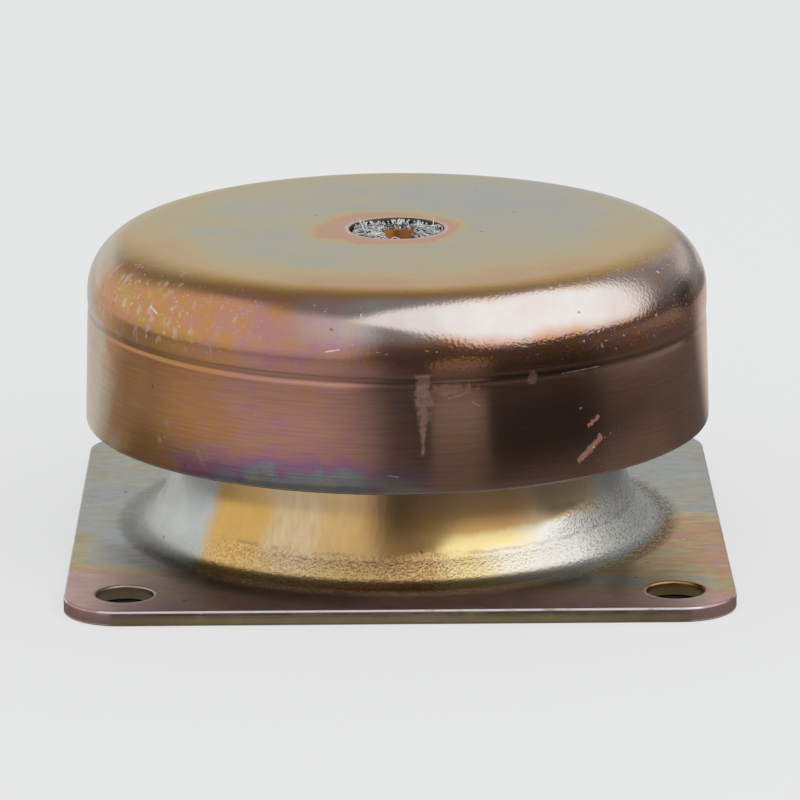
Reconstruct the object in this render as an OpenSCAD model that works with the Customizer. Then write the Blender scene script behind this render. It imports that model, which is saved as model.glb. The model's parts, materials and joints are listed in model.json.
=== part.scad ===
// Cup anti-vibration mount, all metal.
// A drawn steel cup stands on two rings of knitted stainless wire, one above and one below the
// turned-in top of a drawn base. A tapped bush runs down the middle and carries the rebound washer.
// Millimetres. Origin at the middle of the base's underside, +Z up.

/* [Base plate] */
// Side of the square plate
plate_w = 110; // [104:1:130]
// Sheet thickness of the plate and its dome
plate_t = 2.5; // [1.5:0.1:3.2]
// Radius of the plate's four corners
plate_corner_r = 9.5; // [4:0.5:14]
// Diameter of the four bolt holes
bolt_hole_d = 9.5; // [6:0.5:11]
// Distance of each bolt hole's centre from the two nearest edges
bolt_inset = 10; // [8:0.5:12]
// Chamfer on both edges of a bolt hole
bolt_hole_chamfer = 0.4; // [0.2:0.1:0.6]

/* [Dome] */
// Radius where the flat plate turns up into the dome
dome_foot_r = 48; // [46:0.5:51]
// Radius of the flare at the dome's foot, on its outside
flare_r = 8.5; // [5:0.5:11]
// Lean of the dome's wall from the vertical, in degrees
dome_lean = 10; // [5:1:20]
// Height of the dome's flat top above the floor
dome_h = 31; // [26:0.5:36]
// Outside radius of the bend from the wall into the flat top
dome_shoulder_r = 6; // [4:0.5:9]
// Diameter of the opening in the dome's flat top
dome_hole_d = 24; // [20:0.5:28]

/* [Cup] */
// Outside diameter of the cup's wall above the draw line
cup_d = 104.9; // [100:0.1:112]
// Outside height of the cup
cup_h = 32.1; // [26:0.1:38]
// Sheet thickness of the cup
cup_t = 2.5; // [1.5:0.1:3.2]
// Outside radius of the cup's shoulder
cup_shoulder_r = 10; // [6:0.5:12]
// Depth of the draw line below the cup's top
draw_line_drop = 12.3; // [12.2:0.1:16]
// Height over which the wall steps out below the draw line
draw_step_h = 0.9; // [0.5:0.1:2]
// How far the wall steps out at the draw line
draw_step = 0.3; // [0.1:0.05:0.6]
// How far the skirt widens from the draw line down to the rim
skirt_flare = 0.25; // [0:0.05:0.8]
// Diameter of the hole in the cup's top
cup_hole_d = 16; // [15:0.5:22]
// Rounding of that hole's upper edge
cup_hole_edge_r = 0.6; // [0.2:0.1:1]
// Chamfer on the rim's outer edge
rim_chamfer = 0.4; // [0.2:0.1:0.8]

/* [Wire rings] */
// Height of the load ring, between the dome and the cup
upper_ring_h = 19.5; // [16:0.5:24]
// Outside diameter of the load ring
upper_ring_d = 60; // [48:1:66]
// Height of the rebound ring, under the dome's top
lower_ring_h = 12.4; // [9:0.1:13]
// Outside diameter of the rebound ring
lower_ring_d = 46; // [36:1:48]
// Rounding of the wire rings' pressed edges
ring_edge_r = 3; // [1:0.5:4]
// Wall of the thin wire collar in the cup's hole
collar_wall = 1; // [0.6:0.1:1.2]
// Depth of that collar's top below the cup's top face
collar_drop = 0.6; // [0.4:0.1:1.2]

/* [Centre] */
// Core diameter of the bush's thread
thread_core_d = 8.5; // [6.8:0.1:9.5]
// Chamfer at both mouths of the thread
thread_chamfer = 0.8; // [0.4:0.1:1.2]
// Depth of the bush's top below the cup's top face
bush_drop = 1.5; // [0.5:0.1:2]
// Diameter of the lip swaged out under the rebound washer
bush_lip_d = 18; // [16:0.5:22]
// Thickness of that lip
bush_lip_t = 1.5; // [1:0.1:2.5]
// Outside diameter of the rebound washer
washer_d = 48; // [38:1:52]
// Thickness of the rebound washer
washer_t = 2.5; // [1.5:0.1:4]
// Rounding of the washer's punched upper edge
washer_edge_r = 0.8; // [0.3:0.1:1.2]

/* [Clearances] */
// Play between the wire and the round surfaces beside it
wire_gap = 0.25; // [0.1:0.05:0.4]
// Play between the wire and the flat faces it stands on
seat_gap = 0.1; // [0.05:0.05:0.3]
// Radial play between the bush and the rebound washer
washer_play = 0.05; // [0.02:0.01:0.2]

/* [Hidden] */
$fn = 96;

plated = [0.66, 0.52, 0.40];
plated_base = [0.66, 0.60, 0.44];
gold = [0.80, 0.58, 0.28];
wire = [0.70, 0.71, 0.73];

// Heights of the stack, from the dome's top upwards and from its flange downwards
cup_under_z = dome_h + seat_gap + upper_ring_h + seat_gap;
top_z = cup_under_z + cup_t;
rim_z = top_z - cup_h;
flange_under_z = dome_h - plate_t;
washer_top_z = flange_under_z - seat_gap - lower_ring_h - seat_gap;
washer_z = washer_top_z - washer_t;
bush_z = washer_z - bush_lip_t;
bush_top_z = top_z - bush_drop;

// Radii that follow from each other in the middle of the mount
cup_hole_r = cup_hole_d / 2;
collar_out_r = cup_hole_r - wire_gap;
collar_in_r = collar_out_r - collar_wall;
bush_r = collar_in_r - wire_gap;
wire_in_r = bush_r + wire_gap;
dome_hole_r = dome_hole_d / 2;

// The dome's sheet: where its flare and its shoulder meet the leaning wall
flare_c = [dome_foot_r, plate_t + flare_r];
flare_end = flare_c - flare_r * [cos(dome_lean), sin(dome_lean)];
shoulder_start_z = dome_h - dome_shoulder_r * (1 - sin(dome_lean));
shoulder_start = [flare_end[0] - (shoulder_start_z - flare_end[1]) * tan(dome_lean), shoulder_start_z];
shoulder_c = shoulder_start - dome_shoulder_r * [cos(dome_lean), sin(dome_lean)];
wall_inward = -plate_t * [cos(dome_lean), sin(dome_lean)];
// The plate and the dome's flat foot overlap by this much where they are one sheet
seam = 1;
// Reach of each straight run of the sheet into the bends beside it
tongue = 0.4;

// A bend in sheet metal, seen in section: a ring sector about the point c
module bend(c, r_in, r_out, a0, a1) {
    reach = 2 * r_out;
    middle = (a0 + a1) / 2;
    translate(c) intersection() {
        difference() {
            circle(r = r_out);
            circle(r = r_in);
        }
        polygon([[0, 0], reach * [cos(a0), sin(a0)], reach * [cos(middle), sin(middle)],
            reach * [cos(a1), sin(a1)]]);
    }
}

// A straight run of sheet metal from a to b, seen in section, with its far face the vector across away.
// The middle of both ends reaches into the bends there, so that the sheet is one piece.
module run(a, b, across) {
    ahead = tongue * (b - a) / norm(b - a);
    polygon([a, b, b + across / 2 + ahead, b + across, a + across, a + across / 2 - ahead]);
}

// A ring with round edges, seen in section
module round_ring(r_in, r_out, z0, z1, edge) {
    translate([r_in, z0 + edge]) square([r_out - r_in, z1 - z0 - 2 * edge]);
    translate([r_in + edge, z0]) square([r_out - r_in - 2 * edge, z1 - z0]);
    for (r = [r_in + edge, r_out - edge], z = [z0 + edge, z1 - edge])
        translate([r, z]) circle(r = edge);
}

// The plate's outline with its four round corners
module plate_outline() {
    flat = plate_w - 2 * plate_corner_r;
    square([plate_w, flat], center = true);
    square([flat, plate_w], center = true);
    for (x = [-1, 1], y = [-1, 1])
        translate([x, y] * flat / 2) circle(r = plate_corner_r);
}

// One bolt hole with both edges chamfered
module bolt_hole() {
    cut = 0.5;
    wide_d = bolt_hole_d + 2 * bolt_hole_chamfer;
    translate([0, 0, -cut]) cylinder(d = bolt_hole_d, h = plate_t + 2 * cut);
    translate([0, 0, plate_t - bolt_hole_chamfer])
        cylinder(d1 = bolt_hole_d, d2 = wide_d + 2 * cut, h = bolt_hole_chamfer + cut);
    translate([0, 0, -cut])
        cylinder(d1 = wide_d + 2 * cut, d2 = bolt_hole_d, h = bolt_hole_chamfer + cut);
}

// The dome's section: flat foot, flare, leaning wall, shoulder and the flange turned in on top
module dome_section() {
    down = [0, -plate_t];
    flange_r = dome_hole_r + plate_t / 2;
    run([dome_foot_r, plate_t], [dome_foot_r + seam, plate_t], down);
    bend(flare_c, flare_r, flare_r + plate_t, 180 + dome_lean, 270);
    run(flare_end, shoulder_start, wall_inward);
    bend(shoulder_c, dome_shoulder_r - plate_t, dome_shoulder_r, dome_lean, 90);
    run([shoulder_c[0], dome_h], [flange_r, dome_h], down);
    translate([flange_r, dome_h - plate_t / 2]) circle(d = plate_t);
}

// Base: one drawn sheet, a square flange with a dome in its middle
module base() {
    color(plated_base) {
        difference() {
            linear_extrude(height = plate_t) difference() {
                plate_outline();
                circle(r = dome_foot_r + seam / 2);
            }
            for (x = [-1, 1], y = [-1, 1])
                translate([x, y, 0] * (plate_w / 2 - bolt_inset)) bolt_hole();
        }
        rotate_extrude() dome_section();
    }
}

// The cup's section: top with its hole, shoulder, upper wall, draw line, skirt and rim
module cup_section() {
    wall_r = cup_d / 2;
    line_z = top_z - draw_line_drop;
    step_z = line_z - draw_step_h;
    skirt_r = wall_r + draw_step;
    rim_r = skirt_r + skirt_flare;
    edge_r = cup_hole_r + cup_hole_edge_r;
    translate([edge_r, cup_under_z]) square([wall_r - cup_shoulder_r - edge_r, cup_t]);
    translate([cup_hole_r, cup_under_z]) square([cup_hole_edge_r, cup_t - cup_hole_edge_r]);
    translate([edge_r, top_z - cup_hole_edge_r]) circle(r = cup_hole_edge_r);
    bend([wall_r - cup_shoulder_r, top_z - cup_shoulder_r], cup_shoulder_r - cup_t, cup_shoulder_r, 0, 90);
    translate([wall_r - cup_t, line_z]) square([cup_t, top_z - cup_shoulder_r - line_z]);
    polygon([[wall_r, line_z], [wall_r - cup_t, line_z], [skirt_r - cup_t, step_z], [skirt_r, step_z]]);
    polygon([[skirt_r, step_z], [skirt_r - cup_t, step_z], [rim_r - cup_t, rim_z],
        [rim_r - rim_chamfer, rim_z], [rim_r, rim_z + rim_chamfer]]);
}

// Cup: one drawn sheet, upside down over the dome
module cup() {
    color(plated) rotate_extrude() cup_section();
}

// Load ring: a pressed ring of knitted wire, with a spigot down through the dome's opening and a
// thin collar up into the cup's hole
module upper_wire_ring() {
    foot_z = dome_h + seat_gap;
    head_z = foot_z + upper_ring_h;
    spigot_r = dome_hole_r - wire_gap;
    spigot_h = plate_t + seat_gap;
    color(wire) rotate_extrude() {
        round_ring(wire_in_r, upper_ring_d / 2, foot_z, head_z, ring_edge_r);
        translate([wire_in_r, foot_z - spigot_h])
            square([spigot_r - wire_in_r, spigot_h + ring_edge_r]);
        translate([collar_in_r, head_z - ring_edge_r])
            square([collar_wall, top_z - collar_drop - head_z + ring_edge_r]);
    }
}

// Rebound ring: a smaller pressed ring under the dome's flange
module lower_wire_ring() {
    color(wire) rotate_extrude()
        round_ring(wire_in_r, lower_ring_d / 2, washer_top_z + seat_gap, flange_under_z - seat_gap,
            ring_edge_r);
}

// Centre bush: a tapped tube with its lower end swaged out under the washer
module centre_bush() {
    length = bush_top_z - bush_z;
    core_r = thread_core_d / 2;
    mouth_r = core_r + thread_chamfer;
    color(gold) translate([0, 0, bush_z]) difference() {
        union() {
            cylinder(r = bush_r, h = length);
            cylinder(d = bush_lip_d, h = bush_lip_t);
        }
        translate([0, 0, -1]) cylinder(r = core_r, h = length + 2);
        translate([0, 0, length - thread_chamfer]) cylinder(r1 = core_r, r2 = mouth_r + 1, h = thread_chamfer + 1);
        translate([0, 0, -1]) cylinder(r1 = mouth_r + 1, r2 = core_r, h = thread_chamfer + 1);
    }
}

// Rebound washer: a punched disc that the bush's lip carries
module rebound_washer() {
    hole_r = bush_r + washer_play;
    outer_r = washer_d / 2;
    color(gold) translate([0, 0, washer_z]) rotate_extrude() {
        translate([hole_r, 0]) square([outer_r - hole_r, washer_t - washer_edge_r]);
        translate([hole_r, 0]) square([outer_r - hole_r - washer_edge_r, washer_t]);
        translate([outer_r - washer_edge_r, washer_t - washer_edge_r]) circle(r = washer_edge_r);
    }
}

base();
cup();
upper_wire_ring();
lower_wire_ring();
centre_bush();
rebound_washer();
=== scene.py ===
import bmesh
import bpy
import json
import math
import random
from mathutils import Matrix, Vector

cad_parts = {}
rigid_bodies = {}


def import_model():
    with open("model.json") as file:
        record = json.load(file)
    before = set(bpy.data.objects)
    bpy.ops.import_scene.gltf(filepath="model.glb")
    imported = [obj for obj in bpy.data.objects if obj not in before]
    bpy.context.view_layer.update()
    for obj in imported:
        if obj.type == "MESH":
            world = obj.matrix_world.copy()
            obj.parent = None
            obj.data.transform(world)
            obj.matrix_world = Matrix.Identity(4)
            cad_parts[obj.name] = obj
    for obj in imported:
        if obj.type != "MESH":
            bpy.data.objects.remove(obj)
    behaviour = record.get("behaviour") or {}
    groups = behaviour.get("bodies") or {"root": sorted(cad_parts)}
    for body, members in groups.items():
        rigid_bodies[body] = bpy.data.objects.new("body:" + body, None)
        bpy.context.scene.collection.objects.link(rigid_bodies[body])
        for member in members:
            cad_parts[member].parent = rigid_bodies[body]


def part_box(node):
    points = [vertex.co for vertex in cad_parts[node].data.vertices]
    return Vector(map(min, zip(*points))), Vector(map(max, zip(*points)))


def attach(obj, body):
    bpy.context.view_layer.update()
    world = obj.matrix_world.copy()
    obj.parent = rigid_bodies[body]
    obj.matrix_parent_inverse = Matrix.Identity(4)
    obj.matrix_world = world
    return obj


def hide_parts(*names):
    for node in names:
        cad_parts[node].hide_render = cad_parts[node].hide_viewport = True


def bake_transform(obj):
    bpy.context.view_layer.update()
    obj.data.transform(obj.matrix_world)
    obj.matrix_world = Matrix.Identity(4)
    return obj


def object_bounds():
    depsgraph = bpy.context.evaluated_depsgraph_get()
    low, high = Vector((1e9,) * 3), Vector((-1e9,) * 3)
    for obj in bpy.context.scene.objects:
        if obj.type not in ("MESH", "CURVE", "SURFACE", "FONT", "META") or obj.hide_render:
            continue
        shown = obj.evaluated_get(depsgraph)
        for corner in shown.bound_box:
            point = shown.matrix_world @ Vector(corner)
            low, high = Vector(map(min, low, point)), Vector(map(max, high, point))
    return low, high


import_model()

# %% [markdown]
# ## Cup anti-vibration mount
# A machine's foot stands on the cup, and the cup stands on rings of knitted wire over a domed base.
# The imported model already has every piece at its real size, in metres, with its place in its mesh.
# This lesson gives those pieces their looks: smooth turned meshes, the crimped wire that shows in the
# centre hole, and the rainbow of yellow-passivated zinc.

MM = 0.001
cad_low, cad_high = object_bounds()
print("packed model, mm:", [round((b - a) / MM, 1) for a, b in zip(cad_low, cad_high)])

# %% [markdown]
# ## Camera
# The view is a long lens from a little above the plate: the cup's top is a thin ellipse, and the sides
# hardly converge. A camera placed by hand would take many tries, so it was worked out from the
# ellipses and the plate's edges: 928 mm away, 14.7 degrees up. The last two angles, both a third of a
# degree, are the small turn and the small tilt that every hand-set tripod has.

# %% Camera
VIEW_UP = math.radians(14.73)
VIEW_TURN = math.radians(0.342)
VIEW_ROLL = math.radians(0.328)
VIEW_AWAY = 928 * MM
VIEW_AT = Vector((0.42, 0, 23.12)) * MM
LENS = 244.87

camera = bpy.data.objects.new("camera", bpy.data.cameras.new("camera"))
bpy.context.scene.collection.objects.link(camera)
back = Vector((0, -math.cos(VIEW_UP), math.sin(VIEW_UP)))
aim = Matrix.Translation(VIEW_AT + back * VIEW_AWAY) @ back.to_track_quat("Z", "Y").to_matrix().to_4x4()
camera.matrix_world = Matrix.Rotation(-VIEW_TURN, 4, "Z") @ aim @ Matrix.Rotation(-VIEW_ROLL, 4, "Z")
camera.data.lens = LENS
camera.data.clip_start = 10 * MM
camera.data.clip_end = 20
bpy.context.scene.camera = camera
bpy.context.scene.view_settings.view_transform = "Standard"
print("camera at, mm:", [round(c / MM) for c in camera.matrix_world.translation])

# %% [markdown]
# ## Shader maths
# A finish is a sum of small causes: film thickness here, a scuff there, dirt in a corner. Wiring a
# Math node for each is hard to read, so a small class wraps a socket and turns arithmetic into nodes.
# `Field` is a number that changes over the surface. `Finish` is one material, with one method that
# adds any node: its settings first, then the values or links of its sockets.

# %% Fields: numbers that change over a surface
class Field:
    def __init__(self, finish, socket):
        self.finish = finish
        self.socket = socket

    def maths(self, operation, *inputs):
        return self.finish.node("Math", inputs, operation=operation)

    def __add__(self, other):
        return self.maths("ADD", self, other)

    def __sub__(self, other):
        return self.maths("SUBTRACT", self, other)

    def __rsub__(self, other):
        return self.maths("SUBTRACT", other, self)

    def __mul__(self, other):
        return self.maths("MULTIPLY", self, other)

    def __truediv__(self, other):
        return self.maths("DIVIDE", self, other)

    def __neg__(self):
        return self.maths("MULTIPLY", self, -1)

    __radd__ = __add__
    __rmul__ = __mul__

    def most(self, other):
        return self.maths("MAXIMUM", self, other)

    def blend(self, other, share):
        """This number where the share is 0, and the other where it is 1."""
        return self * (1 - share) + other * share

    def size(self):
        """The number without its sign."""
        return self.maths("ABSOLUTE", self)

    def root(self):
        return self.maths("SQRT", self)

    def step(self, low, high):
        """0 at low and 1 at high, with a soft change between them. Low may be the larger one."""
        sockets = {"Value": self, "From Min": low, "From Max": high}
        return self.finish.node("MapRange", sockets, interpolation_type="SMOOTHSTEP")

    def hump(self, middle, half, soft):
        """1 within half of the middle, falling softly to 0 over the next soft."""
        return (self - middle).size().step(half + soft, half)


# %% Finish: one material
APART = 61


class Finish:
    def __init__(self, material):
        self.material = material
        material.use_nodes = True
        self.tree = material.node_tree
        self.tree.nodes.clear()
        coordinates = self.node("TexCoord", out="Object")
        self.place = self.node("VectorMath", {0: coordinates, 3: 1 / MM}, operation="SCALE")
        self.x = self.node("SeparateXYZ", [self.place], out="X")
        self.y = self.node("SeparateXYZ", [self.place], out="Y")
        self.z = self.node("SeparateXYZ", [self.place], out="Z")

    def node(self, kind, sockets=(), out=0, stops=(), **settings):
        made = self.tree.nodes.new("ShaderNode" + kind)
        for name, value in settings.items():
            setattr(made, name, value)
        for number, (at, colour) in enumerate(stops):
            ends = {0: 0, len(stops) - 1: -1}
            ramp = made.color_ramp.elements
            stop = ramp[ends[number]] if number in ends else ramp.new(at)
            stop.position = at
            stop.color = (*colour, 1)
        for key, value in sockets.items() if isinstance(sockets, dict) else enumerate(sockets):
            if isinstance(value, Field):
                self.tree.links.new(value.socket, made.inputs[key])
            else:
                made.inputs[key].default_value = value
        return Field(self, made.outputs[out]) if made.outputs else made

    def radius(self):
        """Distance from the mount's own axis, in mm."""
        return (self.x * self.x + self.y * self.y).root()

    def angle(self):
        """Degrees round the mount: 0 at the front, more to the right, and 180 at the back."""
        return self.node("Math", [self.x, -self.y], operation="ARCTAN2") * math.degrees(1)

    def not_back(self):
        """1 at the front and the sides, fading to 0 before the back, where the angle jumps."""
        return self.angle().size().step(165, 110)

    def stretched(self, sx, sy, sz, turn=(0, 0, 0)):
        """The place, turned and then squeezed, so that a noise on it gets long one way."""
        return self.node("Mapping", {"Vector": self.place, "Scale": (sx, sy, sz), "Rotation": turn})

    def elsewhere(self, at, seed):
        """The place moved far off, so that each seed cuts another piece out of the same noise."""
        away = (APART * seed, -APART * seed, APART / 2)
        return self.node("VectorMath", [at or self.place, away], operation="ADD")

    def noise(self, grain, seed, detail=3, at=None):
        """Clouds from 0 to 1 about a middle of 0.5, with features about grain mm wide."""
        sockets = {"Vector": self.elsewhere(at, seed), "Scale": 1 / grain, "Detail": detail}
        return self.node("TexNoise", sockets)

    def specks(self, spacing, size, seed, at=None):
        """Separate spots up to size mm across, about one in each spacing mm."""
        sockets = {"Vector": self.elsewhere(at, seed), "Scale": 1 / spacing}
        near = self.node("TexVoronoi", sockets)
        return near.step(size / spacing / 2, size / spacing / 4)

    def mix(self, factor, low, high):
        """The colour low where the factor is 0, and high where it is 1."""
        ends = [c if isinstance(c, Field) else (*c, 1) for c in (low, high)]
        return self.node("Mix", {0: factor, 6: ends[0], 7: ends[1]}, out=2, data_type="RGBA")

    def coats(self, colour, *coats):
        """Lay thin coats over a colour, each one a mask and the colour where that mask is 1."""
        for mask, tint in coats:
            colour = self.mix(mask, colour, tint)
        return colour

    def bump(self, height, depth):
        """Relief: where the height is 1 the surface stands depth mm proud."""
        return self.node("Bump", {"Height": height, "Strength": 1, "Distance": depth * MM})

    def metal(self, colour, roughness, normal, metallic=1.0):
        """The end of each metal finish here."""
        sockets = {"Base Color": colour, "Roughness": roughness, "Metallic": metallic, "Normal": normal}
        surface = self.node("BsdfPrincipled", sockets)
        self.node("OutputMaterial", [surface])
        return self.material

    def glow(self, colour, strength):
        """The end of a lit panel."""
        surface = self.node("Emission", [colour, strength])
        self.node("OutputMaterial", [surface])
        return self.material


# %% [markdown]
# ## Studio
# Bare metal has no colour of its own in the shade: it shows the room. So the room is built first, the
# way a photographer lights plated parts. A pale floor and backdrop stand behind. A big square softbox
# hangs front right, a wide white panel leans in from the left, and the rest of the room is dark, which
# gives the curves their black edges. Real lamps would do, but soft shapes with clean edges are easier
# to place as patches painted on a tent, a big dome that only reflections see. A ring of mats on the
# floor does the same below the horizon, for the upright walls. A lamp and the world light the floor.

# %% Stage objects
PALE = (0.81, 0.815, 0.82)
CORNER_R = 9.5
TENT_R = 1200
ROOM = 0.10
BACKDROP = 0.66
PANEL = 0.75
KEY = 1.10
scene_objects = bpy.context.scene.collection.objects


def verts_of(geometry):
    """The vertices among the things that an operator made."""
    return [thing for thing in geometry if isinstance(thing, bmesh.types.BMVert)]


def stage_piece(name, bm, material, reflected_only=True):
    bmesh.ops.scale(bm, vec=(MM, MM, MM), verts=bm.verts)
    mesh = bpy.data.meshes.new(name)
    bm.to_mesh(mesh)
    bm.free()
    mesh.materials.append(material)
    made = bpy.data.objects.new(name, mesh)
    scene_objects.link(made)
    if reflected_only:
        made.visible_camera = False
        made.visible_diffuse = False
        made.visible_shadow = False
        made.visible_transmission = False
        material.cycles.emission_sampling = "NONE"
    return made


# %% Floor: a wide pale sheet, painted near-black under the plate as painted shade
def floor_finish():
    f = Finish(bpy.data.materials.new("stage_floor"))
    camera_ray = f.node("LightPath", out="Is Camera Ray")
    glossy_ray = f.node("LightPath", out="Is Glossy Ray")
    clear_ray = f.node("LightPath", out="Is Transmission Ray")
    straight = (cad_high.x - cad_low.x) / MM / 2 - CORNER_R
    across = (f.x.size() - straight).most(0)
    along = (f.y.size() - straight).most(0)
    outside = (across * across + along * along).root().step(7.0, 8.5)
    shown = camera_ray.most(glossy_ray).most(clear_ray) * 0.75 * outside
    # painted shade: under the plate, where it shows through the bolt holes, the floor is coloured near-black
    lit = f.node("BsdfDiffuse", [f.mix(outside, (0.03, 0.03, 0.025), PALE)])
    plain = f.node("Emission", [(*PALE, 1), 1.0])
    f.node("OutputMaterial", [f.node("MixShader", [shown, lit, plain])])
    return f.material


floor = bmesh.new()
bmesh.ops.create_circle(floor, cap_ends=True, segments=96, radius=4000)
bmesh.ops.translate(floor, vec=(0, 0, -0.05), verts=floor.verts)
stage_piece("stage_floor", floor, floor_finish(), reflected_only=False)


# %% Tent: what the metal reflects above the horizon
def towards(f, direction):
    """Cosine of the angle between a place on the tent and a direction."""
    return f.node("VectorMath", [f.place, direction / TENT_R], operation="DOT_PRODUCT", out="Value")


def softbox(f, azimuth, height, left, right, half_height, soft):
    """1 on a flat square light that faces the mount, whose sides are tangents of their angles."""
    a, h = math.radians(azimuth), math.radians(height)
    centre = Vector((math.sin(a) * math.cos(h), -math.cos(a) * math.cos(h), math.sin(h)))
    aside = Vector((math.cos(a), math.sin(a), 0))
    facing = towards(f, centre)
    across = towards(f, aside) / facing
    along = towards(f, centre.cross(aside)) / facing
    inside = across.step(-left - soft, -left + soft) * across.step(right + 3 * soft, right - 2 * soft)
    return inside * along.hump(0, half_height - soft, 2 * soft) * facing.step(0.05, 0.15)


def tent_finish():
    f = Finish(bpy.data.materials.new("stage_tent"))
    azimuth = f.angle()
    height = f.node("Math", [f.z / TENT_R], operation="ARCSINE") * math.degrees(1)
    level = ROOM + 0.17 * height.step(4, 30)
    behind = azimuth.size()
    backdrop = (behind.step(138, 172) * height.step(62, 27)).most(behind.step(132, 145) * height.step(26, 12))
    level = level.blend(BACKDROP, backdrop)
    level = level * (1 - 0.6 * azimuth.hump(146, 17, 8) * height.step(14, 5))
    panel = (azimuth - 0.7 * height).step(-170, -138) * azimuth.step(-3, -20) * height.step(73, 55)
    level = level.blend(PANEL, panel)
    key_light = softbox(f, 60, 48, 0.78, 0.97, 0.81, 0.09)
    return f.glow((1, 0.985, 0.965, 1), level.blend(KEY, key_light))


tent = bmesh.new()
bmesh.ops.create_icosphere(tent, subdivisions=6, radius=TENT_R)
bmesh.ops.bisect_plane(tent, geom=tent.verts[:] + tent.edges[:] + tent.faces[:], plane_co=(0, 0, 0),
                       plane_no=(0, 0, 1), clear_inner=True)
stage_piece("stage_tent", tent, tent_finish())

# %% Mats: what the upright walls reflect from the floor, as degrees round the mount and a level
MATS = ((-180, 0.60), (-135, 0.60), (-125, 0.62), (-115, 0.45), (-108, 0.32), (-90, 0.25), (-76, 0.36),
        (-48, 0.44), (-24, 0.42), (-11, 0.27), (-3, 0.10), (10, 0.065), (30, 0.035), (60, 0.035), (78, 0.08),
        (100, 0.12), (127, 0.13), (134, 0.40), (140, 0.64), (180, 0.60))
MAT_R = (54, 1150)


def mat_finish():
    f = Finish(bpy.data.materials.new("stage_mats"))
    azimuth = f.angle()
    r = f.radius()
    stops = [(0.5 + at / 360, (level,) * 3) for at, level in MATS]
    level = f.node("ValToRGB", [azimuth / 360 + 0.5], stops=stops)
    level = level * (1 + azimuth.hump(-50, 44, 10) * (0.28 - 0.6 * r.step(224, 252)))
    level = level * (1 + 1.1 * azimuth.hump(68, 48, 10) * r.step(200, 230))
    level = level * (1 - 0.65 * azimuth.hump(138, 14, 6) * r.step(250, 280))
    far_panel = azimuth.hump(-78, 58, 12) * r.step(260, 340)
    level = level.blend(BACKDROP, far_panel)
    # a sheet of card on the floor at the front, and the even tone of the floor close to the plate
    card = azimuth.hump(19.4, 7.5, 3) * r.hump(206, 42, 8)
    level = level + (0.13 + 0.22 * r.step(195, 235)) * card
    near = r.step(158, 142) * azimuth.size().step(104, 90)
    level = level.blend(0.17, near).most(0.30 * r.step(72, 64))
    return f.glow((1, 0.97, 0.94, 1), level)


mats = bmesh.new()
bmesh.ops.create_circle(mats, segments=128, radius=MAT_R[0])
made = bmesh.ops.extrude_edge_only(mats, edges=mats.edges[:])["geom"]
bmesh.ops.scale(mats, vec=(MAT_R[1] / MAT_R[0],) * 3, verts=verts_of(made))
bmesh.ops.translate(mats, vec=(0, 0, 0.3), verts=mats.verts)
stage_piece("stage_mats", mats, mat_finish())


# %% World and lamp
world = bpy.data.worlds.new("studio")
bpy.context.scene.world = world
world.use_nodes = True
world.node_tree.nodes["Background"].inputs["Color"].default_value = (*PALE, 1)
world.node_tree.nodes["Background"].inputs["Strength"].default_value = 1.0

lamp = bpy.data.objects.new("soft_lamp", bpy.data.lights.new("soft_lamp", "AREA"))
scene_objects.link(lamp)
LAMP_AT = Vector((500, -420, 620)) * MM
lamp.matrix_world = Matrix.Translation(LAMP_AT) @ LAMP_AT.to_track_quat("Z", "Y").to_matrix().to_4x4()
lamp.data.size = 500 * MM
lamp.data.energy = 1.5
lamp.visible_glossy = False
lamp.visible_camera = False


# %% [markdown]
# ## A pen for sections
# The cup, the dome, the washer and the bush are all round, so each is half a section spun about the
# middle. The section could be a list of points, but the real one is straight runs and bends of a
# stated radius. So this pen draws those: `line` extrudes the last point, `arc` spins it about a
# centre, and `turn` spins the whole outline. Lengths are in millimetres until the piece is finished.

# %% The pen
FULL = math.radians(360)


def rounded(bm, geometry, width, steps, affect):
    """Bevel vertices or edges with a true arc."""
    bmesh.ops.bevel(bm, geom=geometry, offset=width, offset_type="OFFSET", segments=steps, profile=0.5,
                    affect=affect, material=-1)


class Section:
    def __init__(self, r, z):
        self.bm = bmesh.new()
        self.tip = self.bm.verts.new((r, 0, z))
        self.first = self.tip

    def line(self, r, z):
        self.tip = bmesh.ops.extrude_vert_indiv(self.bm, verts=[self.tip])["verts"][0]
        self.tip.co = (r, 0, z)
        return self

    def arc(self, r, z, degrees, steps):
        """Bend about the point (r, z), anticlockwise where degrees is positive."""
        spun = bmesh.ops.spin(self.bm, geom=[self.tip], cent=(r, 0, z), axis=(0, -1, 0),
                              angle=math.radians(degrees), steps=steps)
        self.tip = verts_of(spun["geom_last"])[0]
        return self

    def close(self):
        self.bm.edges.new((self.tip, self.first))
        return self

    def soften(self, corners, width, steps=3):
        """Round the outline's corners that lie at the given (r, z) places."""
        near = [v for v in self.bm.verts for r, z in corners if (v.co - Vector((r, 0, z))).length < 0.01]
        rounded(self.bm, near, width, steps, "VERTICES")
        return self

    def turn(self, steps=256, at=(0, 0)):
        """Spin the outline into a closed body, whose axis goes through the place at."""
        bmesh.ops.remove_doubles(self.bm, verts=self.bm.verts, dist=0.001)
        bmesh.ops.spin(self.bm, geom=self.bm.verts[:] + self.bm.edges[:], cent=(0, 0, 0), axis=(0, 0, 1),
                       angle=FULL, steps=steps, use_merge=True)
        bmesh.ops.translate(self.bm, vec=(*at, 0), verts=self.bm.verts)
        return self.bm


# %% Joining and finishing
def join(bm, other):
    """Move all of another bmesh into this one."""
    mesh = bpy.data.meshes.new("joined")
    other.to_mesh(mesh)
    other.free()
    bm.from_mesh(mesh)
    bpy.data.meshes.remove(mesh)


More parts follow.
